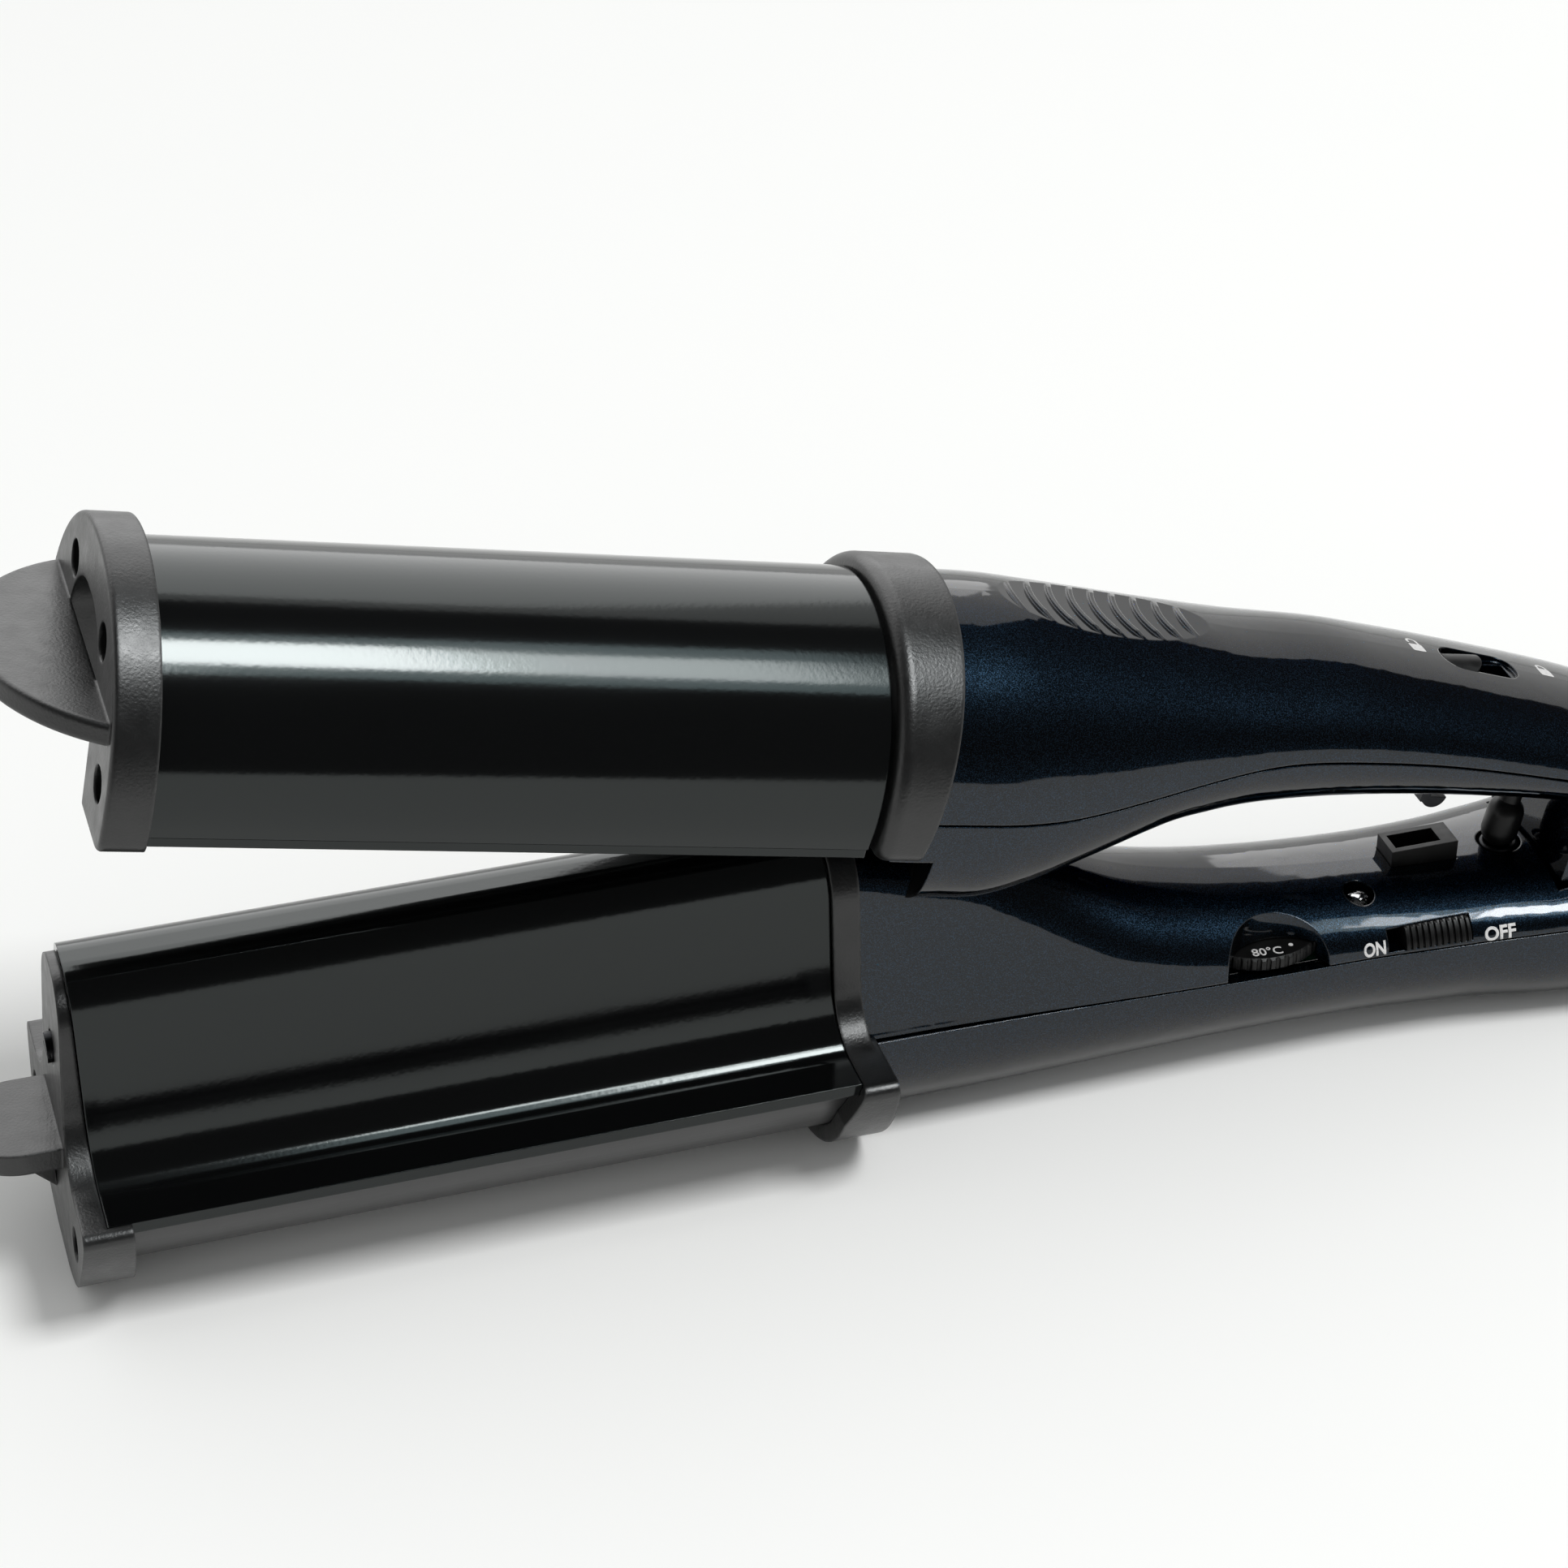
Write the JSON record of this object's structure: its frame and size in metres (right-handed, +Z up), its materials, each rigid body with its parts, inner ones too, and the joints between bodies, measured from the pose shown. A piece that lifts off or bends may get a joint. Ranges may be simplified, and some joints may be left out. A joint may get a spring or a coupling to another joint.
{
  "type": "curling iron",
  "caption": "Two-arm hair iron: round channelled barrel above a bell-shaped heated ridge, navy pearl handles with lock, switch and dial, sprung open on a hinge",
  "frame": {"origin": "on the table, at the middle of the lower collar's flat foot", "axes": "+X along the lower arm from the heated tip to the tail, +Z up"},
  "size_m": [0.2603, 0.043, 0.0921],
  "materials": {
    "ceramic_gloss": "glossy black ceramic coating on aluminium",
    "cap_matte": "fine-grained heat-proof black",
    "cover_grey": "satin dark grey",
    "navy_pearl": "navy pearl lacquer",
    "control_black": "semi-gloss black",
    "clear_lens": "clear",
    "steel": "plain",
    "bronze": "plain",
    "spreader_aluminium": "extruded",
    "heater_ceramic": "fired ceramic",
    "board_green": "solder mask",
    "gland_rubber": "moulded"
  },
  "bodies": {
    "lower_arm": {"lower_plate": "ceramic_gloss", "lower_end_cap": "cap_matte", "lower_collar": "cap_matte", "lower_cover": "cover_grey", "lower_handle_top_shell": "navy_pearl", "lower_handle_bottom_shell": "navy_pearl", "latch_loop": "control_black", "lower_carrier": "control_black", "power_switch_body": "control_black", "indicator_lens": "clear_lens", "indicator_led": "clear_lens", "hinge_pin": "steel", "opening_spring": "steel", "lower_cap_screws": "steel", "lower_handle_screws": "steel", "lower_thermostat": "steel", "dial_potentiometer": "steel", "lower_heat_spreader": "spreader_aluminium", "lower_heater": "heater_ceramic", "circuit_board": "board_green", "cord_gland": "gland_rubber"},
    "upper_arm": {"upper_barrel": "ceramic_gloss", "upper_channel_plate": "ceramic_gloss", "upper_end_cap": "cap_matte", "upper_collar": "cap_matte", "upper_handle_top_shell": "navy_pearl", "upper_handle_bottom_shell": "navy_pearl", "upper_cap_screws": "steel", "upper_handle_screws": "steel", "upper_thermal_fuse": "steel", "upper_leg_cores": "spreader_aluminium", "upper_heaters": "heater_ceramic", "hinge_bushes": "bronze", "spring_plunger": "control_black"},
    "lock": {"lock_knob": "control_black", "lock_hook": "steel"},
    "power_switch": {"power_switch_knob": "control_black"},
    "dial": {"temperature_dial": "control_black"}
  },
  "joints": [
    {"name": "arm_hinge", "type": "hinge", "parent": "lower_arm", "child": "upper_arm", "pos_m": [0.1146, 0, 0.0185], "axis": [0, 1, 0], "range_deg": [-12.4, 0], "stiffness_Nm_per_rad": 0.6, "springref_deg": 57.3, "deforming": ["opening_spring"]},
    {"name": "lock_slide", "type": "slide", "parent": "upper_arm", "child": "lock", "axis": [0.9767, 0, -0.2147], "range_m": [0, 0.003]},
    {"name": "power_switch_slide", "type": "slide", "parent": "lower_arm", "child": "power_switch", "axis": [1, 0, 0], "range_m": [-0.002, 0]},
    {"name": "dial_turn", "type": "hinge", "parent": "lower_arm", "child": "dial", "pos_m": [0.0543, -0.00258, 0.0164], "axis": [0, 0, 1], "range_deg": [-135, 135]}
  ]
}
